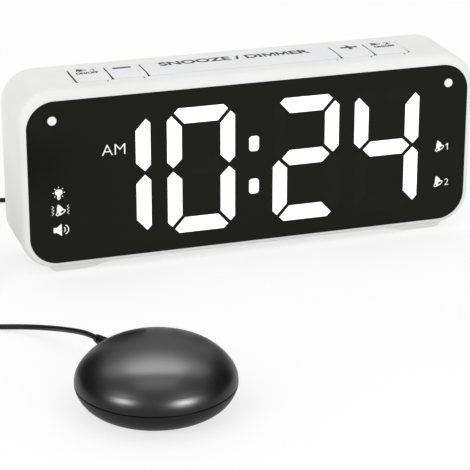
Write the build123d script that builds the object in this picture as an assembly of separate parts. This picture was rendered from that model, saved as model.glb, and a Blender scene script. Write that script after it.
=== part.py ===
from build123d import *
import math
import os

# Bed shaker alarm clock: a table clock with five keys on its deck, and a shaker puck on a thin cord.
# Millimetres. X runs along the clock's width, Y to its back, Z up, with the floor at zero.
# The origin is on the floor, under the middle of the clock.

# Case
case_width = 188.4
case_height = 72.6
case_depth = 35.0
case_corner = 13.0
case_wall = 2.4
front_edge = 3.4
rear_edge = 2.0
foot_height = 2.7

# Fits between pieces
fit = 0.1
slide_gap = 0.2
press_margin = 0.15

# Display face
panel_rim_side = 2.7
panel_rim_height = 3.2
panel_corner = 11.2
panel_thickness = 1.6
panel_recess = 0.3
panel_drop = 0.8
ledge_thickness = 1.6

# Digits, each in a box of this size, in two pairs
digit_width = 27.9
digit_height = 51.8
digit_pitch = 34.6
pair_offset = 39.2
digits_shift = 0.15
digits_drop = 0.4
upright_stroke = 6.0
bar_stroke = 6.4
middle_rise = 0.85
segment_gap = 1.5
digit_chamfer = 4.7
segment_apex = 2.4
segment_depth = 2.0
colon_width = 4.1
colon_height = 6.3
colon_corner = 1.3
colon_drop = 0.6
colon_spacing = 17.9
lamp_radius = 1.78
lamp_dome = 0.35
lamp_inset_x = 9.3
lamp_inset_z = 7.8
lamp_shift = 0.9

# Reflector and main board behind the face
ledge_side = 5.5
ledge_height = 3.4
reflector_corner = 8.0
reflector_thickness = 6.0
flange_reach = 1.4
flange_thickness = 1.4
board_thickness = 1.6
main_board_side = 2.0
main_board_edge = 2.2
main_board_drop = 1.2
main_screw_inset_x = 8.5
main_screw_inset_z = 5.7
chip_size = 1.6
chip_height = 0.7

# Keys on the deck, from the left end of the row to its right end
alarm_key_width = 14.6
step_key_width = 14.5
deck_end = 25.0
key_gap = 0.6
key_depth = 16.2
key_offset = -0.5
key_proud = 0.25
key_crown = 0.3
key_corner = 0.8
key_edge = 0.3
key_stroke = 0.6
key_flange = 1.2
key_flange_reach = 1.6
key_post_radius = 2.0
snooze_post_x = 24.0
key_board_drop = 6.5
key_board_depth = 17.0
key_board_thickness = 1.2
key_boss_radius = 2.6
key_boss_inset = 5.2
switch_size = 6.0
switch_height = 3.0
plunger_radius = 1.7
plunger_height = 0.8

# Rear cover and what sits in it
cover_thickness = 2.4
cover_recess = 0.3
cover_boss_radius = 2.6
cover_boss_inset_x = 5.6
cover_boss_inset_z = 5.3
screw_radius = 1.2
screw_head_radius = 2.2
screw_head_height = 1.3
screw_length = 9.0
rear_board_gap = 9.8
rear_board_end = 20.2
rear_board_width = 110.0
rear_board_upper_width = 62.0
rear_board_foot = 4.9
rear_board_arm = 18.0
rear_board_headroom = 12.9
standoff_radius = 2.4
standoff_inset = 4.0
standoff_screw = 5.0
set_button_radius = 3.6
set_button_proud = 1.2
set_button_flange = 1.0
set_button_reach = 1.0
set_button_stem = 1.8
set_button_stroke = 0.6
set_button_drop = 10.0
set_button_inset = 12.0
set_button_pitch = 19.0
socket_rise = 8.0
socket_pitch = 24.0
shaker_jack_inset = 14.0
shaker_jack_width = 10.0
plug_tip_radius = 1.75
plug_tip_length = 10.5
power_inlet_width = 10.5
power_bore_radius = 2.9
power_pin_radius = 1.0
power_bore_depth = 9.0
power_pin_recess = 1.0
slider_pitch = 26.0
slider_travel = 2.0
slider_width = 4.6
slider_height = 3.4
slider_cap = 1.4
slider_recess = 0.9
slider_stem_width = 2.2
slider_stem_height = 1.6
slide_body_width = 11.0
slide_body_height = 6.0
slide_body_depth = 8.4
slide_slot_depth = 2.0
slider_stem_dip = 1.4

# Loudspeaker behind the grille
speaker_offset = 34.0
speaker_rise = 9.0
speaker_radius = 14.0
speaker_rim = 1.4
basket_depth = 4.0
basket_back_radius = 8.0
speaker_wall = 0.8
cone_wall = 0.5
cone_rim_radius = 12.0
cone_neck_radius = 4.2
cone_depth = 3.0
magnet_radius = 7.2
magnet_height = 3.6
grille_hole_radius = 0.9
grille_pitch = 3.0
grille_radius = 11.5

# Backup battery and its door
battery_inset = 26.2
battery_drop = 9.0
cell_radius = 10.0
cell_thickness = 3.2
clip_thickness = 0.5
well_side = 24.0
well_wall = 1.5
door_side = 28.0
door_thickness = 1.6
hinge_pin_radius = 0.5
hinge_pin_length = 1.2
hinge_clearance = 0.05
notch_radius = 5.0
notch_depth = 0.9

# Feet
foot_end = 10.6
foot_length = 26.6
foot_heel = 2.8
foot_curve = 0.9
foot_tuck = 0.6
foot_slant = 10.5
foot_inset = 4.0
foot_edge = 0.7
foot_peg_radius = 2.0
foot_peg_length = 3.6
foot_peg_inset_x = 11.6
foot_peg_inset_y = 5.0

# Shaker puck
puck_x = -76.1
puck_y = -141.8
puck_radius = 27.8
puck_height = 25.2
puck_wall = 1.8
waist_height = 9.5
shoulder_turn = 35.0
flank_turn = 65.0
flank_ratio = 0.755
seam_height = 8.9
seam_gap = 0.5
seam_depth = 0.7
bowl_mid_inset = 3.4
bowl_mid_height = 3.0
bowl_base_inset = 9.2
bowl_lift = 0.4
tongue_height = 2.2
tongue_root = 2.4
tongue_wall = 1.0
pad_radius = 14.5
pad_thickness = 1.2
puck_screw_x = 12.0
puck_boss_gap = 0.4
puck_boss_radius = 2.4
puck_head_top = 1.4

# Motor in the puck, along X
motor_length = 22.0
motor_width = 16.0
motor_thickness = 12.0
motor_back = -15.0
motor_lift = 10.2
motor_nose_radius = 3.0
motor_nose = 1.2
cradle_length = 15.0
cradle_offset = -4.5
cradle_wall = 2.2
cradle_height = 6.6
shaft_radius = 1.0
shaft_bearing = 4.0
shaft_free = 9.2
running_clearance = 0.05
weight_radius = 6.5
weight_hub_radius = 2.6
weight_thickness = 6.0
weight_gap = 1.6

# Cord, with its strain relief on the puck and its plug in the clock
cord_diameter = 2.0
gland_angle = 109.0
gland_height = 12.0
gland_reach = 36.4
gland_root_radius = 2.5
gland_tip_radius = 1.5
gland_neck_radius = 2.1
gland_flange_radius = 3.0
gland_inside = 23.0
gland_flange = 1.2
gland_clear = 0.3
gland_straight = 5.0
gland_ribs = 3
gland_rib_width = 1.0
plug_radius = 4.0
plug_length = 15.0
plug_grips = 4
plug_grip_depth = 0.45
plug_taper = 9.0
plug_tail_radius = 1.6
plug_gap = 0.3

# Coil of the length that lies put away
coil_x = -125.0
coil_y = -5.0
coil_inner = 7.0
coil_turn_pitch = 2.7
coil_layer_pitch = 3.0
coil_layers = 4
coil_turns = 3.5
tie_width = 4.0
tie_thickness = 0.5
tie_clearance = 0.3

# Places that follow from the sizes above
front_y = -case_depth / 2
rear_y = case_depth / 2
deck_z = foot_height + case_height
case_mid = foot_height + case_height / 2
panel_z = case_mid - panel_drop
panel_width = case_width - 2 * panel_rim_side
panel_height = case_height - 2 * panel_rim_height
reflector_width = panel_width - 2 * ledge_side
reflector_height = panel_height - 2 * ledge_height
main_board_width = reflector_width - 2 * main_board_side
main_board_height = reflector_height - 2 * main_board_edge
main_screw_x = reflector_width / 2 - main_screw_inset_x
main_screw_rise = reflector_height / 2 - main_screw_inset_z
panel_front = front_y + panel_recess
panel_back = panel_front + panel_thickness
wall_back = panel_back + ledge_thickness
reflector_back = panel_back + reflector_thickness
main_board_back = reflector_back + board_thickness
main_board_z = panel_z - main_board_drop
digits_z = panel_z - digits_drop
lamp_reach = panel_width / 2 - lamp_inset_x
lamp_places = {"left_flash_lamp": lamp_shift - lamp_reach, "right_flash_lamp": lamp_shift + lamp_reach}
lamp_z = panel_z + panel_height / 2 - lamp_inset_z
deck_under = deck_z - case_wall
key_front = key_offset - key_depth / 2
key_back = key_offset + key_depth / 2
key_board_top = deck_under - key_board_drop
key_switch_top = key_board_top + switch_height + plunger_height
key_row = case_width - 2 * deck_end
snooze_key_width = key_row - 2 * (alarm_key_width + step_key_width)
key_boss_x = key_row / 2 + key_boss_inset
cover_outer = rear_y - cover_recess
cover_inner = cover_outer - cover_thickness
cover_boss_x = case_width / 2 - case_wall - cover_boss_inset_x
cover_boss_rise = case_height / 2 - case_wall - cover_boss_inset_z
rear_board_back = cover_inner - rear_board_gap
rear_board_y = rear_board_back - board_thickness
rear_board_left = rear_board_end - case_width / 2
rear_board_right = rear_board_left + rear_board_width
rear_board_step = rear_board_left + rear_board_upper_width
rear_board_bottom = foot_height + case_wall + rear_board_foot
rear_board_shelf = rear_board_bottom + rear_board_arm
rear_board_top = deck_under - rear_board_headroom
set_button_height = rear_board_top - set_button_drop
set_button_first_x = rear_board_left + set_button_inset
socket_height = rear_board_bottom + socket_rise
shaker_jack_x = rear_board_left + shaker_jack_inset
power_inlet_x = shaker_jack_x + socket_pitch
volume_slider_x = power_inlet_x + slider_pitch
mode_slider_x = volume_slider_x + slider_pitch
battery_x = case_width / 2 - battery_inset
battery_z = case_mid - battery_drop
speaker_x = battery_x - speaker_offset
speaker_z = case_mid + speaker_rise
foot_outer_x = case_width / 2 - foot_end
foot_inner_x = foot_outer_x - foot_length
foot_peg_x = foot_outer_x - foot_peg_inset_x
foot_peg_y = case_depth / 2 - foot_inset - foot_peg_inset_y
set_switch_top = rear_board_back + switch_height + plunger_height
slide_body_top = rear_board_back + slide_body_depth
door_inner = cover_outer - door_thickness
door_bottom = battery_z - door_side / 2
hinge_y = cover_outer - door_thickness / 2
hinge_z = door_bottom + door_thickness / 2
well_floor = door_inner - slide_gap - cell_thickness - clip_thickness
waist_rise = waist_height - seam_height
bowl_mid_radius = puck_radius - bowl_mid_inset
bowl_base_radius = puck_radius - bowl_base_inset
puck_screw_y = motor_width / 2 + cradle_wall + puck_boss_gap + puck_boss_radius
motor_x = puck_x + motor_back
motor_front = motor_x + motor_length
bowl_floor = bowl_lift + puck_wall
coil_outer = coil_inner + coil_turns * coil_turn_pitch
coil_left = coil_x - coil_outer
coil_end_x = coil_left - coil_turn_pitch / 2
coil_bottom = tie_thickness + tie_clearance + cord_diameter / 2
coil_top = coil_bottom + (coil_layers - 1) * coil_layer_pitch
plug_mouth = cover_outer + plug_gap
plug_end = plug_mouth + plug_length + plug_taper
gland_way = Vector(math.cos(math.radians(gland_angle)), math.sin(math.radians(gland_angle)), 0)
gland_start = puck_radius + gland_clear
gland_end = Vector(puck_x, puck_y, gland_height) + gland_way * gland_reach
gland_lead = gland_end + gland_way * gland_straight
key_ends = [-key_row / 2]
for key_width in (alarm_key_width, step_key_width, snooze_key_width, step_key_width, alarm_key_width):
    key_ends.append(key_ends[-1] + key_width)

# Route of the cord from the puck to the coil, and from the coil to the plug
shaker_route = [
    tuple(gland_end),
    tuple(gland_lead),
    (-93.4, -90.6, 8.8),
    (-97.6, -77.2, 4.6),
    (-104.2, -67.6, 2.0),
    (-113.8, -62.3, 1.05),
    (-124.5, -58.6, 1.05),
    (-133.4, -51.4, 1.05),
    (-137.8, -41.4, 1.2),
    (-140.1, -30.0, 1.45),
    (coil_left, -18.2, coil_bottom),
    (coil_left, coil_y - cord_diameter, coil_bottom),
]
clock_route = [
    (coil_end_x, coil_y + cord_diameter, coil_top),
    (coil_end_x, 4.5, coil_top),
    (-142.0, 13.0, 9.0),
    (-140.8, 23.0, 5.2),
    (-138.1, 34.0, 2.3),
    (-133.8, 45.4, 1.1),
    (-127.6, 56.4, 1.05),
    (-119.4, 65.6, 1.05),
    (-109.6, 71.8, 1.05),
    (-98.9, 74.2, 1.05),
    (-88.6, 72.6, 1.05),
    (-79.4, 69.4, 1.2),
    (-72.3, 66.6, 3.0),
    (-66.8, 62.9, 7.0),
    (-62.9, 58.2, 11.8),
    (-60.7, 53.0, 15.9),
    (shaker_jack_x, plug_end + 5.6, socket_height),
    (shaker_jack_x, plug_end, socket_height),
]


def slab(outline, front, back):
    return extrude(Plane.XZ.offset(-back) * outline, amount=back - front)


def rod(radius, front, back, x, z):
    return slab(Pos(x, z) * Circle(radius), front, back)


def column(radius, bottom, top, x, y):
    return Pos(x, y, bottom) * extrude(Circle(radius), amount=top - bottom)


def block(x_low, x_high, y_low, y_high, z_low, z_high):
    middle = Pos((x_low + x_high) / 2, (y_low + y_high) / 2, (z_low + z_high) / 2)
    return middle * Box(x_high - x_low, y_high - y_low, z_high - z_low)


def rounded(width, height, radius, z, x=0):
    return Pos(x, z) * RectangleRounded(width, height, radius)


def at_corners(x, y):
    return [(-x, -y), (x, -y), (-x, y), (x, y)]


def turned_on_y(points, x, z):
    outline = make_face(Polyline(*points, close=True))
    return Pos(x, 0, z) * revolve(outline, Axis.Y)


nodes = {}


# Segments of a digit, drawn in its own box with the middle at zero
def bar_outline():
    half_width = digit_width / 2
    half_height = digit_height / 2
    mitre = segment_gap / math.sqrt(2)
    outer = half_width - digit_chamfer
    tip_x = half_width - (digit_chamfer + mitre) / 2
    tip_z = half_height - (digit_chamfer - mitre) / 2
    inner_x = half_width - upright_stroke - mitre
    inner_z = half_height - bar_stroke
    right = [(outer, half_height), (tip_x, tip_z), (inner_x, inner_z)]
    left = [(-x, z) for x, z in reversed(right)]
    return make_face(Polyline(*right, *left, close=True))


def upright_outline(middle):
    half_width = digit_width / 2
    half_height = digit_height / 2
    mitre = segment_gap / math.sqrt(2)
    inner_x = half_width - upright_stroke
    points = [
        (inner_x, half_height - bar_stroke - mitre),
        (half_width - (digit_chamfer - mitre) / 2, half_height - (digit_chamfer + mitre) / 2),
        (half_width, half_height - digit_chamfer),
        (half_width, middle + segment_gap / 2 + segment_apex),
        (half_width - segment_apex, middle + segment_gap / 2),
        (inner_x, middle + bar_stroke / 2 + mitre),
    ]
    return make_face(Polyline(*points, close=True))


def middle_outline():
    mitre = segment_gap / math.sqrt(2)
    shoulder = digit_width / 2 - upright_stroke - mitre
    half = bar_stroke / 2
    right = [(shoulder, half), (shoulder + half, 0), (shoulder, -half)]
    left = [(-x, z) for x, z in reversed(right)]
    return Pos(0, middle_rise) * make_face(Polyline(*right, *left, close=True))


def digit_outlines(names):
    bar = bar_outline()
    upper = upright_outline(middle_rise)
    lower = mirror(upright_outline(-middle_rise), Plane.XZ)
    shapes = {
        "top": bar,
        "upper_right": upper,
        "lower_right": lower,
        "bottom": mirror(bar, Plane.XZ),
        "lower_left": mirror(lower, Plane.YZ),
        "upper_left": mirror(upper, Plane.YZ),
        "middle": middle_outline(),
    }
    return [shapes[name] for name in names]


one_segments = ("upper_right", "lower_right")
all_segments = ("top", "upper_right", "lower_right", "bottom", "lower_left", "upper_left", "middle")
digit_places = {
    "hour_tens_digit": (-pair_offset - digit_pitch / 2, one_segments),
    "hour_units_digit": (-pair_offset + digit_pitch / 2, all_segments),
    "minute_tens_digit": (pair_offset - digit_pitch / 2, all_segments),
    "minute_units_digit": (pair_offset + digit_pitch / 2, all_segments),
}
window_outlines = {}
for node, (place, names) in digit_places.items():
    shift = Pos(place + digits_shift, digits_z)
    window_outlines[node] = [shift * outline for outline in digit_outlines(names)]
colon_dot = RectangleRounded(colon_width, colon_height, colon_corner)
window_outlines["colon_dots"] = [
    Pos(digits_shift, digits_z - colon_drop + side * colon_spacing / 2) * colon_dot for side in (-1, 1)
]
all_windows = [outline for group in window_outlines.values() for outline in group]

# Light guides: each fills its window and reaches into its well
for node, outlines in window_outlines.items():
    nodes[node] = Compound([slab(outline, panel_front, panel_back + segment_depth) for outline in outlines])

# Lamp lenses, slightly domed
for node, x in lamp_places.items():
    lens = rod(lamp_radius, panel_front - lamp_dome, panel_back + segment_depth, x, lamp_z)
    nodes[node] = fillet(lens.edges().sort_by(Axis.Y)[0], lamp_dome)

# Black face
panel = slab(rounded(panel_width, panel_height, panel_corner, panel_z), panel_front, panel_back)
for outline in all_windows:
    panel -= slab(outline, panel_front, panel_back)
for x in lamp_places.values():
    panel -= rod(lamp_radius + fit, panel_front, panel_back, x, lamp_z)
nodes["display_panel"] = panel

# Reflector with a light well behind every window
reflector = slab(
    rounded(reflector_width, reflector_height, reflector_corner, panel_z), panel_back, reflector_back
)
flange_width = reflector_width + 2 * flange_reach
flange_height = reflector_height + 2 * flange_reach
flange_outline = rounded(flange_width, flange_height, reflector_corner + flange_reach, panel_z)
reflector += slab(flange_outline, wall_back, wall_back + flange_thickness)
for outline in all_windows:
    reflector -= slab(outline, panel_back, reflector_back)
for x in lamp_places.values():
    reflector -= rod(lamp_radius + fit, panel_back, reflector_back, x, lamp_z)
main_screws = [
    (side_x * main_screw_x, panel_z + side_z * main_screw_rise) for side_x in (-1, 1) for side_z in (-1, 1)
]
for x, z in main_screws:
    reflector -= rod(screw_radius + running_clearance, wall_back, reflector_back, x, z)
cover_bosses = [(x, case_mid + z) for x, z in at_corners(cover_boss_x, cover_boss_rise)]
for x, z in cover_bosses:
    reflector -= rod(cover_boss_radius + fit, wall_back, reflector_back, x, z)
nodes["display_reflector"] = reflector

# Main board and its chips, one at the middle of each well
main_board = slab(
    Pos(0, main_board_z) * Rectangle(main_board_width, main_board_height), reflector_back, main_board_back
)
for x, z in main_screws:
    main_board -= rod(screw_radius + fit, reflector_back, main_board_back, x, z)
for x, z in cover_bosses:
    main_board -= rod(cover_boss_radius + fit, reflector_back, main_board_back, x, z)
nodes["main_board"] = main_board
chip_places = [outline.bounding_box().center() for outline in all_windows]
chip_places = [(place.X, place.Y) for place in chip_places] + [(x, lamp_z) for x in lamp_places.values()]
nodes["led_chips"] = Compound(
    [
        slab(Pos(x, z) * Rectangle(chip_size, chip_size), reflector_back - chip_height, reflector_back)
        for x, z in chip_places
    ]
)

# Case: a rounded block, open at the back, with a ledge behind the face
case_block = slab(rounded(case_width, case_height, case_corner, case_mid), front_y, rear_y)
housing = case_block
housing = fillet(housing.faces().sort_by(Axis.Y)[0].edges(), front_edge)
housing = fillet(housing.faces().sort_by(Axis.Y)[-1].edges(), rear_edge)
hollow_width = case_width - 2 * case_wall
hollow_height = case_height - 2 * case_wall
hollow_corner = case_corner - case_wall
housing -= slab(rounded(hollow_width, hollow_height, hollow_corner, case_mid), wall_back, rear_y)
pocket = rounded(panel_width + 2 * fit, panel_height + 2 * fit, panel_corner + fit, panel_z)
housing -= slab(pocket, front_y, panel_back)
window = rounded(reflector_width + 2 * fit, reflector_height + 2 * fit, reflector_corner + fit, panel_z)
housing -= slab(window, panel_back, wall_back)
for x, z in cover_bosses:
    housing += rod(cover_boss_radius, wall_back, cover_inner, x, z)
    housing -= rod(screw_radius + running_clearance, cover_outer - screw_length, cover_inner, x, z)
for side in (-1, 1):
    x = side * key_boss_x
    housing += column(key_boss_radius, key_board_top, deck_under, x, key_offset)
    housing -= column(screw_radius + running_clearance, key_board_top, deck_under, x, key_offset)
housing -= block(
    -key_row / 2 - key_gap / 2, key_row / 2 + key_gap / 2,
    key_front - key_gap / 2, key_back + key_gap / 2,
    deck_under, deck_z,
)
foot_pegs = at_corners(foot_peg_x, foot_peg_y)
for x, y in foot_pegs:
    housing -= column(foot_peg_radius + fit, foot_height, foot_height + case_wall, x, y)
nodes["front_housing"] = housing


# Keys: a crowned cap in the deck, a flange under it and a post above each switch
def make_key(left, right, post_places):
    width = right - left - key_gap
    middle = (left + right) / 2
    edge_z = deck_z + key_proud
    flange_top = deck_under - slide_gap
    flange_bottom = flange_top - key_flange
    side_view = [
        Line((key_front, edge_z), (key_front, flange_bottom)),
        Line((key_front, flange_bottom), (key_back, flange_bottom)),
        Line((key_back, flange_bottom), (key_back, edge_z)),
        ThreePointArc((key_back, edge_z), (key_offset, edge_z + key_crown), (key_front, edge_z)),
    ]
    cap = Pos(middle - width / 2, 0, 0) * extrude(Plane.YZ * make_face(side_view), amount=width)
    cap = fillet(cap.edges().filter_by(Axis.Z), key_corner)
    cap = fillet(cap.faces().sort_by(Axis.Z)[-1].edges(), key_edge)
    cap += block(
        middle - width / 2 + key_corner, middle + width / 2 - key_corner,
        key_front - key_flange_reach, key_back + key_flange_reach,
        flange_bottom, flange_top,
    )
    post_end = key_switch_top + key_stroke + press_margin
    for x in post_places:
        cap += column(key_post_radius, post_end, flange_bottom, x, key_offset)
    return cap


key_names = ("alarm1_key", "minus_key", "snooze_key", "plus_key", "alarm2_key")
switch_places = []
for index, node in enumerate(key_names):
    left, right = key_ends[index], key_ends[index + 1]
    middle = (left + right) / 2
    posts = [middle - snooze_post_x, middle + snooze_post_x] if node == "snooze_key" else [middle]
    switch_places += posts
    nodes[node] = make_key(left, right, posts)

# Board and switches under the keys
key_board_half = key_boss_x + key_boss_radius
key_board = block(
    -key_board_half, key_board_half,
    key_offset - key_board_depth / 2, key_offset + key_board_depth / 2,
    key_board_top - key_board_thickness, key_board_top,
)
for side in (-1, 1):
    key_board -= column(
        screw_radius + fit, key_board_top - key_board_thickness, key_board_top, side * key_boss_x, key_offset
    )
nodes["key_board"] = key_board
key_switches = []
for x in switch_places:
    body = block(
        x - switch_size / 2, x + switch_size / 2,
        key_offset - switch_size / 2, key_offset + switch_size / 2,
        key_board_top, key_board_top + switch_height,
    )
    key_switches.append(body + column(plunger_radius, key_board_top, key_switch_top, x, key_offset))
nodes["key_switches"] = Compound(key_switches)

# Rear cover
cover_outline = rounded(hollow_width - 2 * fit, hollow_height - 2 * fit, hollow_corner - fit, case_mid)
cover = slab(cover_outline, cover_inner, cover_outer)
for x, z in cover_bosses:
    cover -= rod(screw_radius + fit, cover_inner, cover_outer, x, z)
    cover -= rod(screw_head_radius + fit, cover_outer - screw_head_height, cover_outer, x, z)
grille_steps = int(grille_radius / grille_pitch) + 1
for row in range(-grille_steps, grille_steps + 1):
    for place in range(-grille_steps, grille_steps + 1):
        x = (place + 0.5 * (row % 2)) * grille_pitch
        z = row * grille_pitch * math.sin(math.radians(60))
        if math.hypot(x, z) < grille_radius:
            cover -= rod(grille_hole_radius, cover_inner, cover_outer, speaker_x + x, speaker_z + z)
set_button_places = [set_button_first_x + step * set_button_pitch for step in range(3)]
for x in set_button_places:
    cover -= rod(set_button_radius + slide_gap, cover_inner, cover_outer, x, set_button_height)
for x in (volume_slider_x, mode_slider_x):
    slot_width = slider_stem_width + 2 * (slider_travel + slide_gap)
    slot = Pos(x, socket_height) * Rectangle(slot_width, slider_stem_height + 2 * slide_gap)
    cover -= slab(slot, cover_inner, cover_outer)
    recess_width = slider_width + 2 * (slider_travel + slide_gap)
    recess = Pos(x, socket_height) * Rectangle(recess_width, slider_height + 2 * slide_gap)
    cover -= slab(recess, cover_outer - slider_recess, cover_outer)
for x, width in ((shaker_jack_x, shaker_jack_width), (power_inlet_x, power_inlet_width)):
    mouth = Pos(x, socket_height) * Rectangle(width + 2 * fit, width + 2 * fit)
    cover -= slab(mouth, cover_inner, cover_outer)
well_outer = Pos(battery_x, battery_z) * Rectangle(well_side + 2 * well_wall, well_side + 2 * well_wall)
cover += slab(well_outer, well_floor - well_wall, cover_inner)
cover -= slab(Pos(battery_x, battery_z) * Rectangle(well_side, well_side), well_floor, cover_outer)
door_recess = Pos(battery_x, battery_z) * Rectangle(door_side + 2 * slide_gap, door_side + 2 * slide_gap)
cover -= slab(door_recess, door_inner - slide_gap, cover_outer)
cover -= rod(notch_radius, cover_outer - notch_depth, cover_outer, battery_x, battery_z + door_side / 2)
pin_reach = door_side / 2 + slide_gap + hinge_pin_length
cover -= Pos(battery_x, hinge_y, hinge_z) * Rot(0, 90, 0) * Cylinder(
    hinge_pin_radius + hinge_clearance, 2 * pin_reach
)
standoffs = [
    (rear_board_left + standoff_inset, rear_board_bottom + standoff_inset),
    (rear_board_left + standoff_inset, rear_board_top - standoff_inset),
    (rear_board_step - standoff_inset, rear_board_top - standoff_inset),
    (rear_board_right - standoff_inset, rear_board_bottom + standoff_inset),
]
for x, z in standoffs:
    cover += rod(standoff_radius, rear_board_back, cover_inner, x, z)
    cover -= rod(screw_radius + running_clearance, rear_board_back, cover_inner, x, z)
nodes["rear_cover"] = cover

# Battery door, turning on two stub pins along its rounded lower edge
door = block(
    battery_x - door_side / 2, battery_x + door_side / 2,
    door_inner, cover_outer, hinge_z, door_bottom + door_side,
)
knuckle = Pos(battery_x, hinge_y, hinge_z) * Rot(0, 90, 0)
door += knuckle * Cylinder(door_thickness / 2, door_side)
door += knuckle * Cylinder(hinge_pin_radius, 2 * (pin_reach - slide_gap))
nodes["battery_door"] = door
cell_front = well_floor + clip_thickness
nodes["coin_cell"] = rod(cell_radius, cell_front, cell_front + cell_thickness, battery_x, battery_z)
clip_plate = Pos(battery_x, battery_z) * Rectangle(cell_radius, well_side)
clip_arm = Pos(battery_x + (cell_radius + well_side / 2 + fit) / 2, battery_z) * Rectangle(
    well_side / 2 - cell_radius - fit, cell_radius
)
clip_bridge = Pos(battery_x + well_side / 4, battery_z) * Rectangle(well_side / 2, cell_radius)
battery_clip = slab(clip_plate + clip_bridge, well_floor, well_floor + clip_thickness)
battery_clip += slab(clip_arm, well_floor, well_floor + clip_thickness + cell_thickness)
nodes["battery_clip"] = battery_clip

# Rear board, an L shape, with the set switches and the slide switches on it
lower_arm = block(
    rear_board_left, rear_board_right, rear_board_y, rear_board_back, rear_board_bottom, rear_board_shelf
)
upper_arm = block(
    rear_board_left, rear_board_step, rear_board_y, rear_board_back, rear_board_bottom, rear_board_top
)
rear_board = lower_arm + upper_arm
for x, z in standoffs:
    rear_board -= rod(screw_radius + fit, rear_board_y, rear_board_back, x, z)
nodes["rear_board"] = rear_board
set_switches = []
for x in set_button_places:
    body = Pos(x, set_button_height) * Rectangle(switch_size, switch_size)
    plunger = rod(plunger_radius, rear_board_back, set_switch_top, x, set_button_height)
    set_switches.append(slab(body, rear_board_back, rear_board_back + switch_height) + plunger)
nodes["set_switches"] = Compound(set_switches)
for node, x in zip(("time_set_button", "alarm1_set_button", "alarm2_set_button"), set_button_places):
    cap_end = cover_outer + set_button_proud
    flange_end = cover_inner - slide_gap
    stem_start = set_switch_top + set_button_stroke + press_margin
    button = rod(set_button_radius, flange_end - set_button_flange, cap_end, x, set_button_height)
    button = fillet(button.edges().sort_by(Axis.Y)[-1], key_edge)
    flange_radius = set_button_radius + set_button_reach
    button += rod(flange_radius, flange_end - set_button_flange, flange_end, x, set_button_height)
    button += rod(set_button_stem, stem_start, flange_end - set_button_flange, x, set_button_height)
    nodes[node] = button
slide_switches = []
for node, x in (("volume_slider", volume_slider_x), ("alert_mode_slider", mode_slider_x)):
    body_outline = Pos(x, socket_height) * Rectangle(slide_body_width, slide_body_height)
    body = slab(body_outline, rear_board_back, slide_body_top)
    track = Pos(x, socket_height) * Rectangle(
        slider_stem_width + 2 * (slider_travel + slide_gap), slider_stem_height + 2 * slide_gap
    )
    slide_switches.append(body - slab(track, slide_body_top - slide_slot_depth, slide_body_top))
    cap_back = cover_outer - slider_recess + slide_gap
    cap_outline = Pos(x, socket_height) * Rectangle(slider_width, slider_height)
    cap = slab(cap_outline, cap_back, cap_back + slider_cap)
    for rib in (-1, 0, 1):
        groove = Pos(x + rib * slider_width / 4, socket_height) * Rectangle(slider_width / 10, slider_height)
        cap -= slab(groove, cap_back + slider_cap * 2 / 3, cap_back + slider_cap)
    stem = Pos(x, socket_height) * Rectangle(slider_stem_width, slider_stem_height)
    nodes[node] = cap + slab(stem, slide_body_top - slider_stem_dip, cap_back)
nodes["slide_switches"] = Compound(slide_switches)

# Sockets
jack = slab(
    Pos(shaker_jack_x, socket_height) * Rectangle(shaker_jack_width, shaker_jack_width),
    rear_board_back, cover_outer,
)
tip_end = cover_outer - plug_tip_length
jack -= rod(plug_tip_radius + fit, tip_end - fit, cover_outer, shaker_jack_x, socket_height)
nodes["shaker_jack"] = jack
inlet = slab(
    Pos(power_inlet_x, socket_height) * Rectangle(power_inlet_width, power_inlet_width),
    rear_board_back, cover_outer,
)
bore_end = cover_outer - power_bore_depth
inlet -= rod(power_bore_radius, bore_end, cover_outer, power_inlet_x, socket_height)
inlet += rod(power_pin_radius, bore_end, cover_outer - power_pin_recess, power_inlet_x, socket_height)
nodes["power_inlet"] = inlet

# Loudspeaker, facing the grille
rim_front = cover_inner - speaker_rim
basket_front = rim_front - basket_depth
nodes["speaker_frame"] = turned_on_y(
    [
        (cone_rim_radius + fit, cover_inner), (speaker_radius, cover_inner), (speaker_radius, rim_front),
        (basket_back_radius, basket_front), (0, basket_front), (0, basket_front + speaker_wall),
        (basket_back_radius - speaker_wall, basket_front + speaker_wall), (cone_rim_radius + fit, rim_front),
    ],
    speaker_x, speaker_z,
)
cone_front = cover_inner - cone_wall
nodes["speaker_cone"] = turned_on_y(
    [
        (cone_rim_radius, cover_inner - fit), (cone_rim_radius, cone_front - fit),
        (cone_neck_radius, cone_front - cone_depth), (0, cone_front - cone_depth + cone_neck_radius / 4),
        (0, cone_front - cone_depth + cone_neck_radius / 4 + cone_wall),
        (cone_neck_radius, cone_front - cone_depth + cone_wall),
    ],
    speaker_x, speaker_z,
)
magnet_end = basket_front - magnet_height
nodes["speaker_magnet"] = rod(magnet_radius, magnet_end, basket_front, speaker_x, speaker_z)


# Screws, as plain shanks with heads
def rear_screw(x, z, head_back, length, radius=screw_radius, head_radius=screw_head_radius):
    head = rod(head_radius, head_back - screw_head_height, head_back, x, z)
    return head + rod(radius, head_back - length, head_back, x, z)


nodes["cover_screws"] = Compound([rear_screw(x, z, cover_outer, screw_length) for x, z in cover_bosses])
main_screw_length = screw_head_height + board_thickness + reflector_thickness / 2
board_screws = [
    rear_screw(x, z, main_board_back + screw_head_height, main_screw_length) for x, z in main_screws
]
for x, z in standoffs:
    head = rod(screw_head_radius, rear_board_y - screw_head_height, rear_board_y, x, z)
    board_screws.append(head + rod(screw_radius, rear_board_y, rear_board_back + standoff_screw, x, z))
for side in (-1, 1):
    x = side * key_boss_x
    board_under = key_board_top - key_board_thickness
    head = column(screw_head_radius, board_under - screw_head_height, board_under, x, key_offset)
    shank_top = key_board_top + key_board_drop / 2
    board_screws.append(head + column(screw_radius, board_under, shank_top, x, key_offset))
nodes["board_screws"] = Compound(board_screws)

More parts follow.
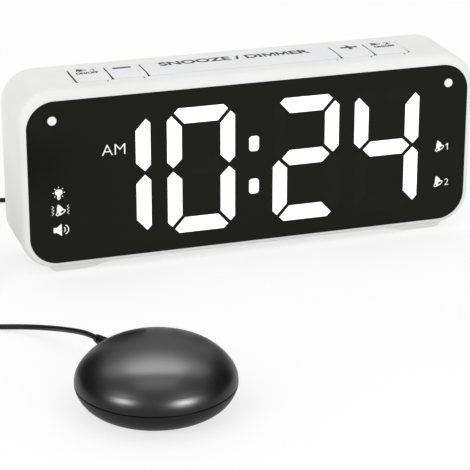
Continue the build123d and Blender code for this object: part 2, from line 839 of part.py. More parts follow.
# Feet, slanted at their inner ends
for node, side in (("left_foot", -1), ("right_foot", 1)):
    outline = make_face(
        Polyline(
            (side * foot_outer_x, foot_height + foot_tuck),
            (side * foot_outer_x, foot_height),
            (side * (foot_outer_x - foot_curve), foot_curve),
            (side * (foot_outer_x - foot_heel), 0),
            (side * (foot_inner_x + foot_slant), 0),
            (side * foot_inner_x, foot_height),
            close=True,
        )
    )
    foot = slab(outline, front_y + foot_inset, rear_y - foot_inset) - case_block
    foot = fillet(foot.faces().sort_by(Axis.Z)[0].edges(), foot_edge)
    for x, y in foot_pegs:
        if x * side > 0:
            foot += column(foot_peg_radius, foot_height, foot_height + foot_peg_length, x, y)
    nodes[node] = foot


# Puck: a crowned shell of two arcs over a shallow bowl, both turned about the puck's own axis
def crown_arcs():
    # Shoulder, flank and top run into each other; the shoulder and top radii close the profile
    rise = puck_height - waist_height
    flank = flank_ratio * puck_radius
    low = math.radians(shoulder_turn)
    high = math.radians(flank_turn)
    across = puck_radius - flank * (math.cos(low) - math.cos(high))
    up = rise - flank * (math.sin(high) - math.sin(low))
    spread = (1 - math.cos(low)) * (1 - math.sin(high)) - math.cos(high) * math.sin(low)
    shoulder = (across * (1 - math.sin(high)) - up * math.cos(high)) / spread
    top = (up * (1 - math.cos(low)) - across * math.sin(low)) / spread
    step = shoulder - flank
    flank_centre = (puck_radius - shoulder + step * math.cos(low), step * math.sin(low))
    return [
        ((puck_radius - shoulder, 0), shoulder, 0, shoulder_turn),
        (flank_centre, flank, shoulder_turn, flank_turn - shoulder_turn),
        ((0, rise - top), top, flank_turn, 90 - flank_turn),
    ]


def crown(inset):
    wide = puck_radius - inset
    arcs = [CenterArc(centre, radius - inset, start, turn) for centre, radius, start, turn in crown_arcs()]
    outline = [
        Line((wide, -waist_rise), arcs[0] @ 0),
        *arcs,
        Line(arcs[-1] @ 1, (0, -waist_rise)),
        Line((0, -waist_rise), (wide, -waist_rise)),
    ]
    return Pos(puck_x, puck_y, waist_height) * revolve(Plane.XZ * make_face(outline), Axis.Z)


def bowl(inset, bottom):
    arc = ThreePointArc(
        (puck_radius, seam_height), (bowl_mid_radius, bowl_mid_height), (bowl_base_radius, bowl_lift)
    )
    centre = arc.arc_center
    reach = arc.radius - inset

    def edge_at(height):
        return centre.X + math.sqrt(reach**2 - (height - centre.Y) ** 2)

    middle_height = (bottom + seam_height) / 2
    side = ThreePointArc(*[(edge_at(height), height) for height in (seam_height, middle_height, bottom)])
    outline = [
        side,
        Line(side @ 1, (0, bottom)),
        Line((0, bottom), (0, seam_height)),
        Line((0, seam_height), side @ 0),
    ]
    return Pos(puck_x, puck_y, 0) * revolve(Plane.XZ * make_face(outline), Axis.Z)


def ring(outer, inner, bottom, top):
    return column(outer, bottom, top, puck_x, puck_y) - column(inner, bottom, top, puck_x, puck_y)


puck_screws = [(puck_x + x, puck_y + y) for x, y in at_corners(puck_screw_x, puck_screw_y)]
gland_plane = Plane(origin=(puck_x, puck_y, gland_height), z_dir=gland_way)


def along_gland(radius, start, end):
    return gland_plane.offset(start) * extrude(Circle(radius), amount=end - start)


outer_crown = crown(0)
top_shell = outer_crown - crown(puck_wall)
for x, y in puck_screws:
    boss = column(puck_boss_radius, bowl_floor + slide_gap, puck_height, x, y) & (
        outer_crown + column(puck_radius, 0, seam_height, puck_x, puck_y)
    )
    top_shell += boss
    top_shell -= column(screw_radius + running_clearance, bowl_floor, bowl_floor + screw_length, x, y)
top_shell -= along_gland(gland_neck_radius + fit, gland_inside, gland_start)
top_shell -= ring(puck_radius + 1, puck_radius - seam_depth, seam_height, seam_height + seam_gap)
nodes["shaker_top_shell"] = top_shell

base_shell = bowl(0, bowl_lift) - bowl(puck_wall, bowl_floor)
shoulder_radius = crown_arcs()[0][1]
inner_shoulder = math.sqrt((shoulder_radius - puck_wall) ** 2 - (tongue_height - waist_rise) ** 2)
tongue_outer = puck_radius - shoulder_radius + inner_shoulder - fit
tongue_bottom = seam_height - tongue_root
tongue_top = seam_height + tongue_height
base_shell += ring(tongue_outer, tongue_outer - tongue_wall, tongue_bottom, tongue_top)
base_shell -= column(pad_radius + fit, 0, pad_thickness, puck_x, puck_y)
base_shell -= along_gland(gland_neck_radius + fit, gland_inside, gland_start)
for x, y in puck_screws:
    base_shell -= column(screw_radius + fit, 0, bowl_floor, x, y)
    base_shell -= column(screw_head_radius + fit, 0, puck_head_top, x, y)
    base_shell -= column(puck_boss_radius + fit, bowl_floor, seam_height, x, y)
nodes["shaker_base_shell"] = base_shell
nodes["shaker_pad"] = column(pad_radius, 0, pad_thickness, puck_x, puck_y)
nodes["shaker_screws"] = Compound(
    [
        column(screw_head_radius, bowl_lift, puck_head_top, x, y)
        + column(screw_radius, bowl_lift, bowl_lift + screw_length, x, y)
        for x, y in puck_screws
    ]
)


# Motor: a can with two flats, its nose, its cradle on the bowl's floor and the weight on its shaft
def can_outline(grow):
    round_part = Circle(motor_width / 2 + grow)
    flats = Rectangle(motor_width + 2 * grow, motor_thickness + 2 * grow)
    return Plane.YZ * (Pos(puck_y, motor_lift) * (round_part & flats))


def along_x(radius, start, end):
    outline = Plane.YZ * (Pos(puck_y, motor_lift) * Circle(radius))
    return Pos(start, 0, 0) * extrude(outline, amount=end - start)


motor = Pos(motor_x, 0, 0) * extrude(can_outline(0), amount=motor_length)
motor += along_x(motor_nose_radius, motor_front, motor_front + motor_nose)
shaft_start = motor_front - shaft_bearing
shaft_end = motor_front + shaft_free
motor -= along_x(shaft_radius + running_clearance, shaft_start - slide_gap, motor_front + motor_nose)
nodes["shaker_motor"] = motor
cradle_mid = puck_x + cradle_offset
cradle = block(
    cradle_mid - cradle_length / 2, cradle_mid + cradle_length / 2,
    puck_y - motor_width / 2 - cradle_wall, puck_y + motor_width / 2 + cradle_wall,
    bowl_floor, bowl_floor + cradle_height,
)
cradle -= Pos(motor_x, 0, 0) * extrude(can_outline(fit), amount=motor_length)
nodes["motor_cradle"] = cradle
nodes["motor_shaft"] = along_x(shaft_radius, shaft_start, shaft_end)
weight_start = motor_front + weight_gap
half_disc = Circle(weight_radius) - Pos(0, weight_radius) * Rectangle(2 * weight_radius, 2 * weight_radius)
weight_outline = half_disc + Circle(weight_hub_radius) - Circle(shaft_radius)
weight = extrude(Plane.YZ * (Pos(puck_y, motor_lift) * weight_outline), amount=weight_thickness)
nodes["eccentric_weight"] = Pos(weight_start, 0, 0) * weight

# Strain relief at the back of the puck
gland = along_gland(gland_flange_radius, gland_inside - gland_flange, gland_inside)
gland += along_gland(gland_neck_radius, gland_inside, gland_start)
boot_length = gland_reach - gland_start
boot = gland_plane.offset(gland_start) * Pos(0, 0, boot_length / 2) * Cone(
    gland_root_radius, gland_tip_radius, boot_length
)
rib_step = boot_length / (gland_ribs + 1)
for rib in range(gland_ribs):
    start = gland_start + rib_step * (rib + 0.5)
    groove_radius = gland_root_radius + (gland_tip_radius - gland_root_radius) * (rib + 1) / gland_ribs
    boot -= along_gland(gland_root_radius, start, start + gland_rib_width) - along_gland(
        groove_radius, start, start + gland_rib_width
    )
nodes["shaker_gland"] = gland + boot

# Plug in the back of the clock
nodes["plug_tip"] = rod(plug_tip_radius, tip_end, plug_mouth, shaker_jack_x, socket_height)
plug = rod(plug_radius, plug_mouth, plug_mouth + plug_length, shaker_jack_x, socket_height)
plug = fillet(plug.edges().filter_by(GeomType.CIRCLE), key_corner)
grip_step = plug_length / (plug_grips + 1)
for grip in range(plug_grips):
    start = plug_mouth + grip_step * (grip + 0.75)
    plug -= rod(plug_radius, start, start + grip_step / 2, shaker_jack_x, socket_height) - rod(
        plug_radius - plug_grip_depth, start, start + grip_step / 2, shaker_jack_x, socket_height
    )
tail_start = plug_mouth + plug_length
plug += turned_on_y(
    [(0, tail_start), (plug_radius - key_corner, tail_start), (plug_tail_radius, plug_end), (0, plug_end)],
    shaker_jack_x, socket_height,
)
nodes["cord_plug"] = plug


# Cord: straight runs joined by arcs as large as the runs allow
def corner_radii(points):
    radii = []
    for before, here, after in zip(points, points[1:], points[2:]):
        run_in = Vector(here) - Vector(before)
        run_out = Vector(after) - Vector(here)
        half_turn = math.radians(run_in.get_angle(run_out)) / 2
        radii.append(0.45 * min(run_in.length, run_out.length) / math.tan(half_turn))
    return radii


def tube(path, start, direction):
    return sweep(Plane(origin=start, z_dir=direction) * Circle(cord_diameter / 2), path=path)


def report_tube(name, solid, path):
    section = math.pi * cord_diameter**2 / 4
    print(f"{name}: length {path.length:.1f}, volume over section times length"
          f" {solid.volume / (section * path.length):.4f}")


for node, route in (("shaker_cord_run", shaker_route), ("clock_cord_run", clock_route)):
    radii = corner_radii(route)
    path = FilletPolyline(*route, radius=radii)
    nodes[node] = tube(path, route[0], Vector(route[1]) - Vector(route[0]))
    print(node, "bend radii", [round(radius, 1) for radius in radii])
    report_tube(node, nodes[node], path)


# Coil: the turns spiral in and out in layers, and climb in the half turn where the spiral reverses
def coil_point(turn):
    leg = coil_turns + 0.5
    layer = min(int(turn / leg), coil_layers - 1)
    along = turn - layer * leg
    inward = layer % 2 == 0
    last = layer == coil_layers - 1
    shift = (along if last else min(along, coil_turns)) * coil_turn_pitch
    radius = coil_outer - shift if inward else coil_inner + shift
    climb = 0 if last else max(along - coil_turns, 0) * 2
    angle = math.pi - 2 * math.pi * turn
    height = coil_bottom + (layer + climb) * coil_layer_pitch
    return Vector(coil_x + radius * math.cos(angle), coil_y + radius * math.sin(angle), height)


def coil_heading(turn, step=0.01):
    return (coil_point(turn + step) - coil_point(turn - step)).normalized()


def biarc(start, start_way, end, end_way):
    chord = end - start
    both = start_way + end_way
    squared = 2 * (1 - start_way.dot(end_way))
    linear = chord.dot(both)
    reach = (-linear + math.sqrt(linear**2 + squared * chord.dot(chord))) / squared
    first = start + start_way * reach
    second = end - end_way * reach
    joint = (first + second) / 2
    return [
        Edge.make_tangent_arc(start, start_way, joint),
        Edge.make_tangent_arc(joint, second - first, end),
    ]


total_turns = coil_layers * (coil_turns + 0.5)
quarter_turns = [step / 4 for step in range(int(total_turns * 4) + 1)]
ways = [coil_heading(turn) for turn in quarter_turns]
ways[0] = ways[-1] = Vector(0, 1, 0)
coil_start = Vector(coil_left, coil_y - cord_diameter, coil_bottom)
coil_end = Vector(coil_end_x, coil_y + cord_diameter, coil_top)
pieces = [Edge.make_line(coil_start, coil_point(0))]
for index in range(len(quarter_turns) - 1):
    pieces += biarc(
        coil_point(quarter_turns[index]), ways[index],
        coil_point(quarter_turns[index + 1]), ways[index + 1],
    )
pieces.append(Edge.make_line(coil_point(total_turns), coil_end))
coil_path = Wire(pieces)
nodes["cord_coil"] = tube(coil_path, coil_start, Vector(0, 1, 0))
report_tube("cord_coil", nodes["cord_coil"], coil_path)
samples_per_turn = 48
samples = [coil_point(step / samples_per_turn) for step in range(int(total_turns * samples_per_turn) + 1)]
apart = samples_per_turn // 2
least = min(
    (samples[later] - samples[earlier]).length
    for earlier in range(len(samples))
    for later in range(earlier + apart, len(samples))
)
print(f"cord_coil: least gap to itself {least - cord_diameter:.2f}")

# Tie: a flat band round the coil's turns, on the side away from its two ends
inner_side = coil_inner - cord_diameter / 2
tie_inner_edge = math.sqrt(inner_side**2 - tie_width**2 / 4) - tie_clearance
tie_outer_edge = coil_outer + cord_diameter / 2 + tie_clearance
tie_inner_width = tie_outer_edge - tie_inner_edge
tie_inner_height = coil_top - coil_bottom + cord_diameter + 2 * tie_clearance
tie_middle = Pos(coil_x + (tie_inner_edge + tie_outer_edge) / 2, (coil_bottom + coil_top) / 2)
tie_outline = RectangleRounded(
    tie_inner_width + 2 * tie_thickness,
    tie_inner_height + 2 * tie_thickness,
    cord_diameter / 2 + tie_thickness,
)
tie_outline -= RectangleRounded(tie_inner_width, tie_inner_height, cord_diameter / 2)
nodes["cord_tie"] = slab(tie_middle * tie_outline, coil_y - tie_width / 2, coil_y + tie_width / 2)

os.makedirs("parts", exist_ok=True)
for node, solid in nodes.items():
    export_step(solid, f"parts/{node}.step")
print(len(nodes), "nodes")
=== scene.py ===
import math

import bmesh
import bpy
from mathutils import Matrix, Vector


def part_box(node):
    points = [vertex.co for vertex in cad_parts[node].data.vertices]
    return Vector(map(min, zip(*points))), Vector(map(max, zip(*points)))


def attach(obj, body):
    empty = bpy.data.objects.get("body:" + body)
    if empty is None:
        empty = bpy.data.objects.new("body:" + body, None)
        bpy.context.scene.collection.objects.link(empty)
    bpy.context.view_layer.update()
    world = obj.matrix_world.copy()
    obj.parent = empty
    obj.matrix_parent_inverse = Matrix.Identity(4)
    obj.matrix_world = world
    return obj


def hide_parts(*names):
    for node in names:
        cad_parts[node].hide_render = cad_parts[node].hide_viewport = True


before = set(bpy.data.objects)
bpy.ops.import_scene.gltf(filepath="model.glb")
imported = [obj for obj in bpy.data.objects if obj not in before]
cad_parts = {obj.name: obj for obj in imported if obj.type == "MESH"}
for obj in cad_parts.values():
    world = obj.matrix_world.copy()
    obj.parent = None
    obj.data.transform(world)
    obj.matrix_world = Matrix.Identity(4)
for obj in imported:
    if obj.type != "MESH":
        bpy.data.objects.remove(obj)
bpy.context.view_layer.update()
scene = bpy.context.scene
scene.view_settings.view_transform = "Standard"
mm = 0.001  # sizes below are in millimetres, Blender's are in metres
print("frame loaded:", len(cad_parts), "nodes")

cameraView = {  # millimetres and degrees
    "place": (-241.07, -736.81, 299.21),
    "azimuth": -17.96,
    "elevation": 21.04,
    "lens": 154.38,
    "sensor": 36.0,
    "clipStart": 10.0,
}
cameraData = bpy.data.cameras.new("studioCamera")
cameraData.lens = cameraView["lens"]
cameraData.sensor_width = cameraView["sensor"]
cameraData.clip_start = cameraView["clipStart"] * mm
camera = bpy.data.objects.new("studioCamera", cameraData)
camera.location = Vector(cameraView["place"]) * mm
camera.rotation_euler = (
    math.radians(90 - cameraView["elevation"]),
    0,
    math.radians(cameraView["azimuth"]),
)
scene.collection.objects.link(camera)
scene.camera = camera
print("camera set")


def linear(code):
    channels = [int(code[at : at + 2], 16) / 255 for at in (1, 3, 5)]
    return (*[c / 12.92 if c <= 0.04045 else ((c + 0.055) / 1.055) ** 2.4 for c in channels], 1)


def addNode(tree, kind, settings=(), links=()):
    node = tree.nodes.new(kind)
    for key, value in dict(settings).items():
        if isinstance(key, int) or key in node.inputs:
            node.inputs[key].default_value = value
        else:
            setattr(node, key, value)
    for key, socket in dict(links).items():
        tree.links.new(socket, node.inputs[key])
    return node


def newTree(name):
    material = bpy.data.materials.new(name)
    material.use_nodes = True
    material.node_tree.nodes.clear()
    return material, material.node_tree


noiseSpan = {"From Min": 0.3, "From Max": 0.7}  # nearly all of a noise lies between these


def surface(name, look):
    material, tree = newTree(name)
    place = addNode(tree, "ShaderNodeTexCoord").outputs["Object"]
    cloud = addNode(
        tree, "ShaderNodeTexNoise", {"Scale": 1 / (look["cloud"] * mm), "Detail": 3}, {"Vector": place}
    ).outputs["Fac"]
    spread = addNode(tree, "ShaderNodeMapRange", noiseSpan, {"Value": cloud})
    tint = addNode(
        tree,
        "ShaderNodeMix",
        {"data_type": "RGBA", 6: linear(look["colour"]), 7: linear(look["shade"])},
        {0: spread.outputs["Result"]},
    ).outputs[2]
    if "gapShade" in look:  # painted shade in the gaps: a dark colour on what lies under a height and behind a front, in millimetres
        height, front, gapShade = look["gapShade"]
        spot = addNode(tree, "ShaderNodeSeparateXYZ", (), {"Vector": place}).outputs
        under = addNode(tree, "ShaderNodeMath", {"operation": "LESS_THAN", 1: height * mm}, {0: spot["Z"]})
        behind = addNode(
            tree, "ShaderNodeMath", {"operation": "GREATER_THAN", 1: front * mm}, {0: spot["Y"]}
        )
        dark = addNode(
            tree, "ShaderNodeMath", {"operation": "MULTIPLY"}, {0: under.outputs[0], 1: behind.outputs[0]}
        ).outputs[0]
        tint = addNode(
            tree, "ShaderNodeMix", {"data_type": "RGBA", 7: linear(gapShade)}, {0: dark, 6: tint}
        ).outputs[2]
    links = {"Base Color": tint}
    if "grain" in look:  # a polished piece has none
        drawn = addNode(
            tree, "ShaderNodeMapping", {"Scale": look.get("stretch", (1, 1, 1))}, {"Vector": place}
        ).outputs["Vector"]
        grain = addNode(
            tree, "ShaderNodeTexNoise", {"Scale": 1 / (look["grain"] * mm), "Detail": 2}, {"Vector": drawn}
        ).outputs["Fac"]
        links["Roughness"] = addNode(
            tree,
            "ShaderNodeMapRange",
            {**noiseSpan, "To Min": look["rough"][0], "To Max": look["rough"][1]},
            {"Value": grain},
        ).outputs["Result"]
        links["Normal"] = addNode(
            tree, "ShaderNodeBump", {"Strength": 1, "Distance": look["relief"] * mm}, {"Height": grain}
        ).outputs["Normal"]
    settings = dict(look.get("shader", {}))
    if "glow" in look:
        links["Emission Color"] = tint
        settings["Emission Strength"] = look["glow"]
    shader = addNode(tree, "ShaderNodeBsdfPrincipled", settings, links)
    addNode(tree, "ShaderNodeOutputMaterial", (), {"Surface": shader.outputs["BSDF"]})
    return material


# Cloud, grain and relief are in millimetres. The grain of a moulding tool is 0.1 to 0.2 in truth, too
# fine to show, so it is drawn two to four times coarser.

# Moulded ABS, spark-textured tool: matt white with a soft bloom
whiteAbs = surface("mouldedWhiteAbs", {
    "colour": "#EFEFEE", "shade": "#EAEAE9", "cloud": 30, "grain": 0.6, "relief": 0.012,
    "rough": (0.54, 0.66), "shader": {"IOR": 1.53, "Specular IOR Level": 0.3},
})
# The keys come from a finer tool, so they are a little glossier than the case; their sides below the top
# carry painted shade, dark as the shade in the gaps between keys, which draws the gaps as thin lines
keyAbs = surface("fineWhiteAbs", {
    "colour": "#EDEDEF", "shade": "#E8E8EA", "cloud": 18, "grain": 0.5, "relief": 0.008,
    "rough": (0.48, 0.60), "gapShade": (75.38, -8.4, "#0E0E0F"),
    "shader": {"IOR": 1.53, "Specular IOR Level": 0.3},
})
# Soft TPE feet: duller and a little greyer than the case
footTpe = surface("whiteTpe", {
    "colour": "#EEEEED", "shade": "#E9E9E8", "cloud": 9, "grain": 0.5, "relief": 0.015,
    "rough": (0.58, 0.70), "shader": {"IOR": 1.50},
})
# Smoked cast acrylic, hard coated: near black, a faint sheen and hardly any mirror
smokedAcrylic = surface("smokedAcrylic", {
    "colour": "#161611", "shade": "#151510", "cloud": 40, "grain": 6, "relief": 0.0004,
    "rough": (0.18, 0.24), "shader": {"IOR": 1.49, "Specular IOR Level": 0.1},
})
# Opal polycarbonate lit from behind: clean white, slightly uneven where the chips sit
litOpal = surface("litOpalDiffuser", {
    "colour": "#F4F4F4", "shade": "#EDEDED", "cloud": 5, "grain": 0.8, "relief": 0.002,
    "rough": (0.30, 0.40), "glow": 0.7, "shader": {"Specular IOR Level": 0.1},
})
# Printed windows over weaker chips: the small signs glow less than the digits
litPrint = surface("litPrintedWindow", {
    "colour": "#CDCDCA", "shade": "#C6C6C4", "cloud": 5, "grain": 0.8, "relief": 0.002,
    "rough": (0.30, 0.40), "glow": 0.78, "shader": {"Specular IOR Level": 0.1},
})
# The same guide unlit behind its smoked film: it sinks into the face
darkOpal = surface("unlitSmokedDiffuser", {
    "colour": "#171712", "shade": "#141410", "cloud": 8, "grain": 3, "relief": 0.0004,
    "rough": (0.16, 0.22), "shader": {"IOR": 1.49, "Specular IOR Level": 0.12},
})
# Frosted acrylic lens: white and soft, with a little light of its own
frostedLens = surface("frostedAcrylicLens", {
    "colour": "#F4F4F3", "shade": "#EAEAE9", "cloud": 3, "grain": 0.4, "relief": 0.01,
    "rough": (0.25, 0.35), "glow": 0.06, "shader": {"IOR": 1.49},
})
# Pad-printed ink: thin, matt and a shade off black; the deck dots use it as painted shade
inkAndPaintedShade = surface("padInkAndPaintedShade", {
    "colour": "#121213", "shade": "#1B1B1D", "cloud": 1.5, "grain": 0.3, "relief": 0.002,
    "rough": (0.50, 0.62),
})
# Satin black ABS of the shaker, from a polished tool: broad soft highlights that keep their edge
puckAbs = surface("satinBlackAbs", {
    "colour": "#0B0B0C", "shade": "#09090A", "cloud": 14,
    "shader": {"Roughness": 0.33, "IOR": 1.44, "Specular IOR Level": 0.33},
})
# Black PVC jacket and boots: smooth, drawn through a die, a dull shine along its length
blackPvc = surface("drawnBlackPvc", {
    "colour": "#0E0E0E", "shade": "#0A0A0B", "cloud": 4, "grain": 0.5, "relief": 0.006,
    "rough": (0.36, 0.48), "shader": {"IOR": 1.53, "Specular IOR Level": 0.25},
})
# The base of the puck comes from an etched tool and is duller than its polished top
baseAbs = surface("etchedBlackAbs", {
    "colour": "#0B0B0C", "shade": "#09090A", "cloud": 14, "grain": 0.6, "relief": 0.002,
    "rough": (0.42, 0.50), "shader": {"IOR": 1.44, "Specular IOR Level": 0.2},
})
# Moulded rubber pad: deep matt black
blackRubber = surface("mouldedBlackRubber", {
    "colour": "#1A1A1A", "shade": "#222222", "cloud": 6, "grain": 0.4, "relief": 0.02,
    "rough": (0.70, 0.82), "shader": {"IOR": 1.52},
})
# Glass-filled black PBT of sockets and sliders: dull, with a fine fibre fleck
blackPbt = surface("glassFilledPbt", {
    "colour": "#1B1B1C", "shade": "#242426", "cloud": 2, "grain": 0.4, "relief": 0.008,
    "rough": (0.45, 0.60), "shader": {"IOR": 1.55},
})
# Mid grey ABS push buttons at the back: half matt, plain against the white cover
greyAbs = surface("mouldedGreyAbs", {
    "colour": "#8D8E91", "shade": "#86878A", "cloud": 5, "grain": 0.4, "relief": 0.01,
    "rough": (0.42, 0.52), "shader": {"IOR": 1.53},
})
# White polystyrene light box: bright and plain
reflectorPs = surface("whitePolystyrene", {
    "colour": "#F2F2F0", "shade": "#EDEDEB", "cloud": 20, "grain": 0.5, "relief": 0.006,
    "rough": (0.30, 0.40), "shader": {"IOR": 1.59},
})
# Phosphor-coated chips: pale yellow domes
phosphor = surface("phosphorChip", {
    "colour": "#E9DF9A", "shade": "#E2D684", "cloud": 1, "grain": 0.2, "relief": 0.004,
    "rough": (0.30, 0.42), "shader": {"IOR": 1.50},
})
# Stainless cans and clips: grey metal brushed along one way
brushedSteel = surface("brushedStainless", {
    "colour": "#C9CACB", "shade": "#BDBEC0", "cloud": 6, "grain": 0.5, "relief": 0.003,
    "stretch": (0.06, 1, 1), "rough": (0.24, 0.38), "shader": {"Metallic": 1},
})
# Zinc-plated screws and the motor can: cool grey, slightly mottled
zincPlate = surface("zincPlatedSteel", {
    "colour": "#B9BDC2", "shade": "#A7ABB1", "cloud": 1.2, "grain": 0.3, "relief": 0.003,
    "rough": (0.28, 0.40), "shader": {"Metallic": 1},
})
# Nickel-plated spring clip and plug tip: bright and warm
nickelPlate = surface("nickelPlate", {
    "colour": "#D6D2C8", "shade": "#CBC6BB", "cloud": 2, "grain": 0.4, "relief": 0.001,
    "rough": (0.12, 0.20), "shader": {"Metallic": 1},
})
# Turned brass weight: yellow metal with fine tool rings
turnedBrass = surface("turnedBrass", {
    "colour": "#C9A554", "shade": "#B99346", "cloud": 3, "grain": 0.25, "relief": 0.004,
    "stretch": (4, 0.3, 0.3), "rough": (0.26, 0.38), "shader": {"Metallic": 1},
})
# Grey nylon cradle: waxy and half matt
greyNylon = surface("greyNylon", {
    "colour": "#6E7073", "shade": "#66686B", "cloud": 4, "grain": 0.4, "relief": 0.006,
    "rough": (0.44, 0.56), "shader": {"IOR": 1.53},
})
# Black enamelled speaker basket: smooth, with a low shine
enamelSteel = surface("blackEnamelSteel", {
    "colour": "#202123", "shade": "#1A1B1C", "cloud": 5, "grain": 0.6, "relief": 0.006,
    "rough": (0.30, 0.42), "shader": {"IOR": 1.50},
})
# Pressed paper cone: fibrous charcoal
paperCone = surface("pressedPaper", {
    "colour": "#37342F", "shade": "#2D2B27", "cloud": 1.5, "grain": 0.3, "relief": 0.03,
    "rough": (0.80, 0.92), "shader": {"IOR": 1.45},
})
# Sintered ferrite magnet: dark grey and gritty
ferrite = surface("sinteredFerrite", {
    "colour": "#3A3A3D", "shade": "#2F2F32", "cloud": 1, "grain": 0.25, "relief": 0.01,
    "rough": (0.55, 0.70), "shader": {"IOR": 1.8},
})


# Glass-epoxy board: green solder mask over copper tracks on a 2.5 mm grid
boardLook = {
    "mask": "#1E5A34", "shade": "#1B5330", "track": "#2F7A4A",
    "length": 10, "row": 2.5, "width": 0.35, "relief": 0.03,
    "shader": {"Roughness": 0.32, "IOR": 1.55},
}


def circuitBoard(look):
    board, tree = newTree("glassEpoxyBoard")
    place = addNode(tree, "ShaderNodeTexCoord").outputs["Object"]
    tracks = addNode(
        tree,
        "ShaderNodeTexBrick",
        {
            "Scale": 1,
            "Brick Width": look["length"] * mm,
            "Row Height": look["row"] * mm,
            "Mortar Size": look["width"] * mm,
            "Color1": linear(look["mask"]),
            "Color2": linear(look["shade"]),
            "Mortar": linear(look["track"]),
        },
        {"Vector": place},
    )
    relief = addNode(
        tree,
        "ShaderNodeBump",
        {"Strength": 1, "Distance": look["relief"] * mm},
        {"Height": tracks.outputs["Fac"]},
    )
    shader = addNode(
        tree,
        "ShaderNodeBsdfPrincipled",
        look["shader"],
        {"Base Color": tracks.outputs["Color"], "Normal": relief.outputs["Normal"]},
    )
    addNode(tree, "ShaderNodeOutputMaterial", (), {"Surface": shader.outputs["BSDF"]})
    return board


# Hook-and-loop strap: nylon woven at 0.5 mm, its ribs raised and dull
tieLook = {
    "colour": "#141415", "shade": "#2B2B2D", "rib": 0.5, "relief": 0.12,
    "shader": {"Roughness": 0.85, "Sheen Weight": 0.3},
}
wavePeriod = 0.314  # metres from rib to rib of a wave texture whose scale is 1


def wovenTie(look):
    woven, tree = newTree("wovenNylonTie")
    place = addNode(tree, "ShaderNodeTexCoord").outputs["Object"]
    ribs = addNode(
        tree,
        "ShaderNodeTexWave",
        {"bands_direction": "Y", "Scale": wavePeriod / (look["rib"] * mm), "Distortion": 1.5, "Detail": 1},
        {"Vector": place},
    )
    tint = addNode(
        tree,
        "ShaderNodeMix",
        {"data_type": "RGBA", 6: linear(look["colour"]), 7: linear(look["shade"])},
        {0: ribs.outputs["Fac"]},
    )
    relief = addNode(
        tree,
        "ShaderNodeBump",
        {"Strength": 1, "Distance": look["relief"] * mm},
        {"Height": ribs.outputs["Fac"]},
    )
    shader = addNode(
        tree,
        "ShaderNodeBsdfPrincipled",
        look["shader"],
        {"Base Color": tint.outputs[2], "Normal": relief.outputs["Normal"]},
    )
    addNode(tree, "ShaderNodeOutputMaterial", (), {"Surface": shader.outputs["BSDF"]})
    return woven


epoxyBoard = circuitBoard(boardLook)
tieNylon = wovenTie(tieLook)
print("materials made:", len(bpy.data.materials))


def keep(piece, body, slotName, *stands):
    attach(piece, body)
    if stands:
        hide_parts(*stands)
    return piece


def newPiece(name, shape, *finishes):
    mesh = bpy.data.meshes.new(name)
    shape.to_mesh(mesh)
    shape.free()
    for finish in finishes:
        mesh.materials.append(finish)
    piece = bpy.data.objects.new(name, mesh)
    scene.collection.objects.link(piece)
    return piece


cordLead = {  # millimetres, but the length in metres
    "length": 1.47,
    "diameter": 2.0,
    "shakerRun": [
        (-87.951, -107.383, 12.0), (-89.579, -102.656, 12.0), (-93.4, -90.6, 8.8), (-97.6, -77.2, 4.6),
        (-104.2, -67.6, 2.0), (-113.8, -62.3, 1.05), (-124.5, -58.6, 1.05), (-133.4, -51.4, 1.05),
        (-137.8, -41.4, 1.2), (-140.1, -30.0, 1.45), (-141.45, -18.2, 1.8), (-141.45, -7.0, 1.8),
    ],
    "clockRun": [
        (-142.8, -3.0, 10.8), (-142.8, 4.5, 10.8), (-142.0, 13.0, 9.0), (-140.8, 23.0, 5.2),
        (-138.1, 34.0, 2.3), (-133.8, 45.4, 1.1), (-127.6, 56.4, 1.05), (-119.4, 65.6, 1.05),
        (-109.6, 71.8, 1.05), (-98.9, 74.2, 1.05), (-88.6, 72.6, 1.05), (-79.4, 69.4, 1.2),
        (-72.3, 66.6, 3.0), (-66.8, 62.9, 7.0), (-62.9, 58.2, 11.8), (-60.7, 53.0, 15.9),
        (-60.0, 47.1, 18.0), (-60.0, 41.5, 18.0),
    ],
    "coilCentre": (-125.0, -5.0),
    "coilInner": 7.0,
    "coilOuter": 16.45,
    "turnPitch": 2.7,
    "layerPitch": 3.0,
    "layers": 4,
    "turnsInLayer": 3.5,
    "climbTurn": 0.5,
    "coilBottom": 1.8,
    "pointsInTurn": 24,
}


def coilPoint(turn, lead):
    leg = lead["turnsInLayer"] + lead["climbTurn"]  # each layer ends in a climb to the next
    layer = min(int(turn / leg), lead["layers"] - 1)
    along = turn - layer * leg
    top = layer == lead["layers"] - 1
    shift = (along if top else min(along, lead["turnsInLayer"])) * lead["turnPitch"]
    radius = lead["coilInner"] + shift if layer % 2 else lead["coilOuter"] - shift
    climb = 0 if top else max(along - lead["turnsInLayer"], 0) / lead["climbTurn"]
    angle = math.pi - 2 * math.pi * turn
    return (
        lead["coilCentre"][0] + radius * math.cos(angle),
        lead["coilCentre"][1] + radius * math.sin(angle),
        lead["coilBottom"] + (layer + climb) * lead["layerPitch"],
    )


def makeCord(lead):
    turns = lead["layers"] * (lead["turnsInLayer"] + lead["climbTurn"])
    steps = int(turns * lead["pointsInTurn"])
    coil = [coilPoint(step / lead["pointsInTurn"], lead) for step in range(steps + 1)]
    points = lead["shakerRun"] + coil + lead["clockRun"]
    curve = bpy.data.curves.new("shaker_cord", "CURVE")
    curve.dimensions = "3D"
    spline = curve.splines.new("NURBS")
    spline.points.add(len(points) - 1)
    for point, place in zip(spline.points, points):
        point.co = (*(Vector(place) * mm), 1)
    spline.order_u = 3
    spline.use_endpoint_u = True
    spline.resolution_u = 4
    curve.bevel_depth = lead["diameter"] / 2 * mm
    curve.bevel_resolution = 3
    curve.use_fill_caps = True
    curve.materials.append(blackPvc)
    cord = bpy.data.objects.new("shaker_cord", curve)
    scene.collection.objects.link(cord)
    return cord


